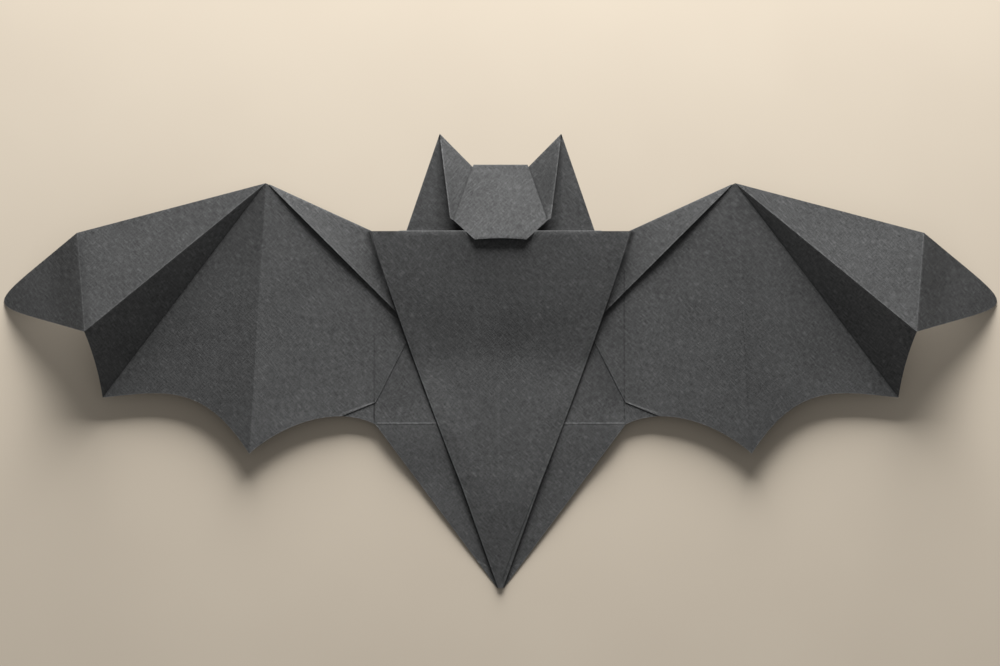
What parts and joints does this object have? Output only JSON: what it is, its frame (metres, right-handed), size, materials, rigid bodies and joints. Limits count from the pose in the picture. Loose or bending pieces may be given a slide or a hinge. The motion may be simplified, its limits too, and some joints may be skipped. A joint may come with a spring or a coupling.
{
  "type": "origami bat",
  "caption": "Folded dark paper bat with a pointed shield-shaped body, raised face, pricked ears and spread wings with hollow trailing edges, lying on its back.",
  "frame": {"origin": "on the centre line of the flat back of the ears' ply, under the fold at the top of the shield", "axes": "+X across the wings to the viewer's right, +Y from the tail to the ears, +Z out of the back towards the viewer"},
  "size_m": [0.3728, 0.1705, 0.0177],
  "materials": {
    "craft_paper": "matt dark grey craft paper with short pale fibres and paler fold lines"
  },
  "bodies": {
    "root": {"folded_sheet": "craft_paper"}
  },
  "joints": []
}
